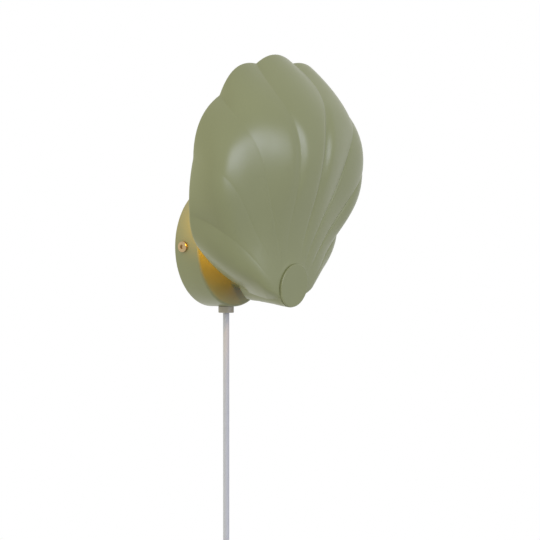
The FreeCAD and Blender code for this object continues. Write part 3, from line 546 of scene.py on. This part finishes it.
def crease_poles(index, inset):
    """Poles of one crease on the right-hand side, moved inwards by inset."""
    flat = [(seat_r, seat_turns[index], seat_depth)]
    for reach_share, turn, depth_share in crease_shares[index]:
        flat.append((seat_r + reach_share * (shade_height - seat_r), turn, depth_share * seat_depth))
    poles = [polar(seat_r - inset, seat_turns[index], seat_depth - inset)]
    for j in range(1, len(flat) - 1):
        run = flat[j + 1][0] - flat[j - 1][0]
        fall = flat[j - 1][2] - flat[j + 1][2]
        slope = math.hypot(run, fall)
        r, turn, depth = flat[j]
        poles.append(polar(r - inset * fall / slope, turn, depth - inset * run / slope))
    poles.append(polar(flat[-1][0] - inset, flat[-1][1], 0))
    return poles


def arc_poles(a, b):
    """The two middle poles of a round arc about the umbo's axis from a to b."""
    turn = (math.atan2(b[0], b[1]) - math.atan2(a[0], a[1])) % (2 * math.pi)
    arm = 4 / 3 * math.tan(turn / 4)
    climb = np.array([0, 0, (b[2] - a[2]) / 3])
    return a + np.array([a[1], -a[0], 0]) * arm + climb, b - np.array([b[1], -b[0], 0]) * arm - climb


def rib_row(a, b, bulge, lean, roundness):
    """Four poles across a rib from crease to crease."""
    chord = b - a
    length = np.linalg.norm(chord)
    out = np.array([0, 0, 1.0]) - chord * (chord[2] / length ** 2)
    out /= np.linalg.norm(out)
    side = np.array([-chord[1], chord[0], 0])
    side = side - out * side.dot(out)
    side /= np.linalg.norm(side)
    turn = math.radians(lean)
    rise = (out * math.cos(turn) + side * math.sin(turn)) * (bulge * length * 4 / 3)
    arc_a, arc_b = arc_poles(a, b)
    first = arc_a * roundness + (a + chord / 3 + rise) * (1 - roundness)
    second = arc_b * roundness + (a + chord * 2 / 3 + rise) * (1 - roundness)
    return [a, first, second, b]


def neck_row(a, b, low_share, wide_share, inset, roundness):
    """Four poles round the underside of the neck, from the right-hand corner to the left-hand one."""
    arc_a, arc_b = arc_poles(a, b)
    low = (inset - low_share * seat_r - a[1] / 4) * 4 / 3
    first = arc_a * roundness + np.array([a[0] * wide_share, low, a[2]]) * (1 - roundness)
    second = arc_b * roundness + np.array([b[0] * wide_share, low, b[2]]) * (1 - roundness)
    return [a, first, second, b]


def shade_patches(inset):
    """Pole grids of all ribs, left to right over the top, and of the neck."""
    right = [crease_poles(i, inset) for i in range(len(crease_shares))]
    mirror = np.array([-1, 1, 1])
    left = [[p * mirror for p in crease] for crease in reversed(right)]
    creases = left + right
    patches = []
    for i, bulge in enumerate(bulge_shares[:0:-1] + bulge_shares):
        patches.append([rib_row(creases[i][j], creases[i + 1][j], bulge[j], lean_turns[j], round_shares[j])
                        for j in range(len(bulge))])
    patches.append([neck_row(right[-1][j], left[0][j], low, wide, inset, round_shares[j])
                    for j, (low, wide) in enumerate(neck_shares)])
    return np.array(patches)


def basis(count, places):
    """Values, at places from 0 to 1, of the basis functions of a clamped uniform B-spline."""
    spans = count - curve_degree
    ends = curve_degree + 1
    knots = [0.0] * ends + [i / spans for i in range(1, spans)] + [1.0] * ends
    just_inside = 1 - 1e-9
    out = np.zeros((len(places), count))
    for row, place in enumerate(places):
        place = min(place, just_inside)
        values = [1.0 if knots[i] <= place < knots[i + 1] else 0.0 for i in range(len(knots) - 1)]
        for d in range(1, ends):
            for i in range(len(knots) - 1 - d):
                low, high = knots[i + d] - knots[i], knots[i + d + 1] - knots[i + 1]
                first = (place - knots[i]) / low * values[i] if low else 0
                second = (knots[i + d + 1] - place) / high * values[i + 1] if high else 0
                values[i] = first + second
        out[row] = values[:count]
    return out


def shade_rings(inset):
    """Rings of points from the seat to the rim. Points crowd towards the creases."""
    across = [0.5 - 0.5 * math.cos(math.pi * k / rib_steps) for k in range(rib_steps)]
    along = np.linspace(0, 1, shade_rows)
    grid = np.einsum("ti,uk,pikc->tpuc", basis(len(lean_turns), along), basis(curve_degree + 1, across),
                     shade_patches(inset))
    return grid.reshape(shade_rows, -1, 3)


def places_along(ring):
    """Lengths of a ring's steps, and how far along it each of its points lies."""
    steps = np.linalg.norm(np.roll(ring, -1, axis=0) - ring, axis=1)
    return steps, np.concatenate([[0], np.cumsum(steps)[:-1]])


def gaps_round(offsets, total):
    """Distances along a ring, the shorter way round."""
    gaps = np.abs(offsets)
    return np.minimum(gaps, total - gaps)


def softened(rings, width):
    """Round the creases: average each ring over a short length on both sides of every point."""
    out = rings.copy()
    for j, ring in enumerate(rings):
        steps, place = places_along(ring)
        gap = gaps_round(place[:, None] - place[None, :], steps.sum())
        share = np.concatenate([steps[-1:], steps[:-1]]) + steps
        weight = np.exp(-0.5 * (gap / width) ** 2) * share[None, :]
        out[j] = (weight @ ring) / weight.sum(axis=1, keepdims=True)
    return out


crease_count = len(crease_shares) * 2
# Grooves along the creases, which are counted from the neck to the middle line: crease, distance from it
# towards the neck, width, depth on the left and on the right, and the places between the seat and the rim
# where it starts, is deepest and ends. On the right-hand side the grooves are deeper.
grooves = [
    (5, 1.5, 5.0, 1.7, 3.0, 0.3, 0.62, 0.88),
    (5, 0, 1.2, 0.2, 0.75, 0, 0.5, 0.95),
    (4, 0, 1.2, 0.2, 0.75, 0, 0.45, 0.85),
    (3, 0, 1.2, 0.2, 0.75, 0, 0.4, 0.9),
    (2, 0, 1.2, 0.1, 0.4, 0, 0.4, 0.85),
]
smooth_width = 18.0
# How much of the ribs' relief is left at these places between the seat and the rim, for these distances from
# the middle line, counted in ribs, and how much of the rest comes back on the right-hand side
relief_places = [0, 0.06, 0.25, 0.5, 0.75, 0.92, 1]
relief_ribs = [1, 2, 2.7, 3.3]
relief_shares = [[1, 0.8, 0.2, 0.1, 0.15, 0.6, 1], [1, 0.6, 0.1, 0, 0.15, 0.7, 1],
                 [1, 0.6, 0.1, 0, 0.3, 0.9, 1], [1, 0.7, 0.12, 0.06, 0.25, 0.92, 1]]
right_relief_share = 0.6


def outwards(rings):
    """Unit normals of the rings' surface, on its outer side."""
    across = np.roll(rings, -1, axis=1) - np.roll(rings, 1, axis=1)
    along = np.gradient(rings, axis=0)
    outward = np.cross(across, along)
    outward /= np.linalg.norm(outward, axis=2, keepdims=True)
    return -outward if outward[len(rings) // 2, :, 2].sum() < 0 else outward


def grooved(rings):
    """Press soft grooves along the creases of the ribs, fading out at the seat and the rim."""
    outward = outwards(rings)
    along = np.linspace(0, 1, len(rings))
    out = rings.copy()
    for j, ring in enumerate(rings):
        steps, place = places_along(ring)
        for crease, shift, width, left_depth, right_depth, start, middle, end in grooves:
            fade = smooth_step(np.interp(along[j], [start, middle, end], [0, 1, 0]))
            halves = ((crease, -shift, left_depth), (crease_count - 1 - crease, shift, right_depth))
            for i, side_shift, depth in halves:
                gap = gaps_round(place - place[i * rib_steps] - side_shift, steps.sum())
                out[j] -= outward[j] * (np.exp(-(gap / width) ** 2) * depth * fade)[:, None]
    return out


def eased(rings):
    """Lower the ribs' relief between the seat and the rim, less so on the right-hand side."""
    once = softened(rings, smooth_width)
    # What a second smoothing takes off is added back, so that the rings keep their size
    smooth = once * 2 - softened(once, smooth_width)
    along = np.linspace(0, 1, len(rings))
    to_right = np.arange(rings.shape[1]) / rib_steps - (crease_count - 1) / 2
    levels = [np.interp(along, relief_places, shares) for shares in relief_shares]
    relief = np.array([np.interp(np.abs(to_right), relief_ribs, level) for level in zip(*levels)])
    relief += (1 - relief) * np.clip(to_right, 0, 1) * right_relief_share
    return smooth + (rings - smooth) * relief[:, :, None]


def shade_shell():
    """Painted sheet of even thickness with a round rim and a hole for the umbo's stud."""
    plain_outer, plain_inner = shade_rings(0), shade_rings(shade_wall)
    outer = softened(grooved(eased(plain_outer)), crease_softness)
    outer[0] = plain_outer[0]
    inner = outer - outwards(outer) * shade_wall
    inner[0] = plain_inner[0]

    def pulled_back(rings):
        """The rim's ring drawn back to where its rounding starts."""
        run = rings[-2] - rings[-1]
        return rings[-1] + run * (shade_wall / 2 / np.linalg.norm(run, axis=1, keepdims=True))

    outer_edge, inner_edge = pulled_back(outer), pulled_back(inner)
    middle = (outer_edge + inner_edge) / 2
    to_rim = (outer[-1] + inner[-1]) / 2 - middle
    outer[-1], inner[-1] = outer_edge, inner_edge
    rim = []
    for k in range(1, rim_steps):
        t = math.pi * k / rim_steps
        rim.append(middle + (outer_edge - middle) * math.cos(t) + to_rim * math.sin(t))
    columns = outer.shape[1]
    hole_out = outer[0] * np.array([stud_r / seat_r] * 2 + [1])
    hole_in = inner[0] * np.array([stud_r / (seat_r - shade_wall)] * 2 + [1])
    rings = np.concatenate([hole_out[None], outer, np.array(rim), inner[::-1], hole_in[None]])
    faces = ring_faces(len(rings), columns) + closing_faces(len(rings), columns)
    faces = [tuple(reversed(f)) for f in faces]
    # Green from the stud's hole over the outside to the middle of the rim, and gold from there on
    green_rows = shade_rows + rim_steps // 2
    slots = [0 if i // columns < green_rows else 1 for i in range(len(faces))]
    points = shade_to_world(rings.reshape(-1, 3))
    add_mesh("shade", points, faces, [green, gold], "lamp", "green_paint", ["shade_shell"],
             slots_of_faces=slots, sharp=rim_sharp)


shade_shell()


# Umbo: the disc at the shell's hinge end

umbo_edge_r = 0.75
umbo_flat_r = 15.0
umbo_chamfer = 0.15
umbo_centre_r = 0.01


def on_shade_axis(depth):
    """Place on the umbo's axis."""
    return Vector(shade_to_world(np.array([0.0, 0.0, depth])))


def umbo():
    """Flat disc, rounded at its front edge and chamfered at its back edge."""
    axis = on_shade_axis(1.0) - on_shade_axis(0.0)
    rounding = (umbo_r - umbo_edge_r, umbo_thick - umbo_edge_r)
    outline = [(umbo_centre_r, umbo_thick), (umbo_flat_r, umbo_thick)]
    outline += arc_points(rounding, umbo_edge_r, start=90, end=0, steps=8)
    outline += [(umbo_r, umbo_chamfer), (umbo_r - umbo_chamfer, 0), (umbo_centre_r, 0)]
    lathe("umbo_disc", outline, on_shade_axis(seat_depth), axis, steps=128, closed=False, materials=[green],
          body="lamp", slot="green_paint", replaces=["umbo_cap"], sharp=40)


umbo()


# Wall dish

dish_r = 50.0
dish_depth = 24.5
dish_sheet = 1.0
dish_edge_r = 2.0
dish_lip_r = 0.25
# Where the flat front and its inner side have rings of points, as shares of the radius, down to the middle
front_rings = (0.8, 0.6, 0.4, 0.2, 0.001)
inner_rings = (0.001, 0.4, 0.8)


def wall_dish():
    """Round dish of sheet, open towards the wall, with a rounded front edge and a round lip."""
    inner_r, inner_depth = dish_r - dish_sheet, dish_depth - dish_sheet
    inner_edge_r = dish_edge_r - dish_sheet
    edge = (dish_r - dish_edge_r, dish_depth - dish_edge_r)
    inner_edge = (inner_r - inner_edge_r, inner_depth - inner_edge_r)
    lip, inner_lip = (dish_r - dish_lip_r, dish_lip_r), (inner_r + dish_lip_r, dish_lip_r)
    outline = arc_points(lip, dish_lip_r, start=-90, end=0, steps=4)
    outline += arc_points(edge, dish_edge_r, start=0, end=90, steps=10)
    outline += [(dish_r * share, dish_depth) for share in front_rings]
    outline += [(dish_r * share, inner_depth) for share in inner_rings]
    outline += arc_points(inner_edge, inner_edge_r, start=90, end=0, steps=6)
    outline += arc_points(inner_lip, dish_lip_r, start=180, end=270, steps=4)
    lathe("dish", outline, at(0, 0, 0), (0, -1, 0), steps=192, closed=True, materials=[green], body="lamp",
          slot="green_paint", replaces=["wall_dish"], sharp=50)


wall_dish()


# Finishes of the solids that are shown as they are

finishes = {
    "wall_bracket": steel, "dish_screws": pale_brass,
    "terminal_block": cream_plastic, "terminal_barrels": brass, "terminal_screws": steel,
    "block_screw": steel, "supply_wires": sleeve_brown, "holder_wires": sleeve_brown,
    "arm_tube": green, "arm_rod": steel, "arm_washer": steel, "arm_locknut": steel, "shade_hub": brass,
    "hub_screw": steel, "holder_nipple": steel, "lampholder": porcelain, "holder_contacts": brass,
    "bulb_pins": steel, "bulb_base": porcelain, "bulb_glass": opal_glass, "bulb_filament": phosphor,
    "cord_gland": gland_plastic, "gland_locknut": gland_plastic, "gland_grub_screw": gland_plastic,
    "switch_base": grey_plastic, "switch_cover": grey_plastic, "switch_rocker": rocker_plastic,
    "switch_screws": steel, "switch_contacts": brass, "cord_tie": band, "plug_relief": grey_plastic,
    "plug_body": grey_plastic, "plug_pins": nickel,
}
for name, material in finishes.items():
    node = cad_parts[name]
    node.data.materials.clear()
    node.data.materials.append(material)


# Studio: a bright even room, dimmer low at the front right, one large soft light in front and a small glow

room_strength = 1.18
# The room's strength near the dim direction, within dim_start degrees of it. Beyond dim_end it is full
dim_strength = 0.0
dim_azimuth = 34
dim_elevation = -20
dim_start = 5
dim_end = 118


def direction(azimuth, elevation):
    """Direction seen from the lamp: azimuth 0 is straight in front, and positive to its right-hand side."""
    a, e = math.radians(azimuth), math.radians(elevation)
    return Vector((math.sin(a) * math.cos(e), -math.cos(a) * math.cos(e), math.sin(e)))


def backdrop_world():
    """White where the camera looks. Its light is even, and dimmer towards one side of the room."""
    world = bpy.data.worlds.new("studio")
    scene.world = world
    world.use_nodes = True
    nodes, links = world.node_tree.nodes, world.node_tree.links
    background = nodes["Background"]
    background.inputs["Color"].default_value = (1, 1, 1, 1)
    coords = nodes.new("ShaderNodeTexCoord")
    towards = nodes.new("ShaderNodeVectorMath")
    towards.operation = "DOT_PRODUCT"
    towards.inputs[1].default_value = direction(dim_azimuth, dim_elevation)
    links.new(coords.outputs["Generated"], towards.inputs[0])
    room = nodes.new("ShaderNodeMapRange")
    room.interpolation_type = "SMOOTHSTEP"
    room.inputs["From Min"].default_value = math.cos(math.radians(dim_end))
    room.inputs["From Max"].default_value = math.cos(math.radians(dim_start))
    room.inputs["To Min"].default_value = room_strength
    room.inputs["To Max"].default_value = dim_strength
    links.new(towards.outputs["Value"], room.inputs["Value"])
    path = nodes.new("ShaderNodeLightPath")
    seen = path.outputs["Is Camera Ray"]
    for kind in ("Is Glossy Ray", "Is Transmission Ray"):
        either = nodes.new("ShaderNodeMath")
        either.operation = "MAXIMUM"
        links.new(seen, either.inputs[0])
        links.new(path.outputs[kind], either.inputs[1])
        seen = either.outputs["Value"]
    strength = nodes.new("ShaderNodeMapRange")
    strength.inputs["To Max"].default_value = 1.0
    links.new(seen, strength.inputs["Value"])
    links.new(room.outputs["Result"], strength.inputs["To Min"])
    links.new(strength.outputs["Result"], background.inputs["Strength"])


def area_light(name, place, target, size, power, colour):
    """Soft rectangular light at a place, turned to its target."""
    data = bpy.data.lights.new(name, "AREA")
    data.shape = "RECTANGLE"
    data.size, data.size_y = size
    data.energy = power
    data.color = colour
    light = bpy.data.objects.new(name, data)
    scene.collection.objects.link(light)
    light.location = place
    light.rotation_euler = (target - place).to_track_quat("-Z", "Y").to_euler()
    light.visible_camera = False


key_distance = 2.0
key_target = at(0, 60, 40)
key_place = key_target + direction(azimuth=4, elevation=3) * key_distance

backdrop_world()
area_light("key", key_place, key_target, size=(1.4, 0.9), power=33, colour=(0.76, 0.79, 1.0))
# The bulb's light as the gilded inside of the shade throws it back on the dish's left side
area_light("gold_glow", place=at(-58, 60, 40), target=at(-34, 15, 0), size=(0.02, 0.02), power=0.088,
           colour=(1.0, 0.53, 0.02))
scene.view_settings.view_transform = "Standard"
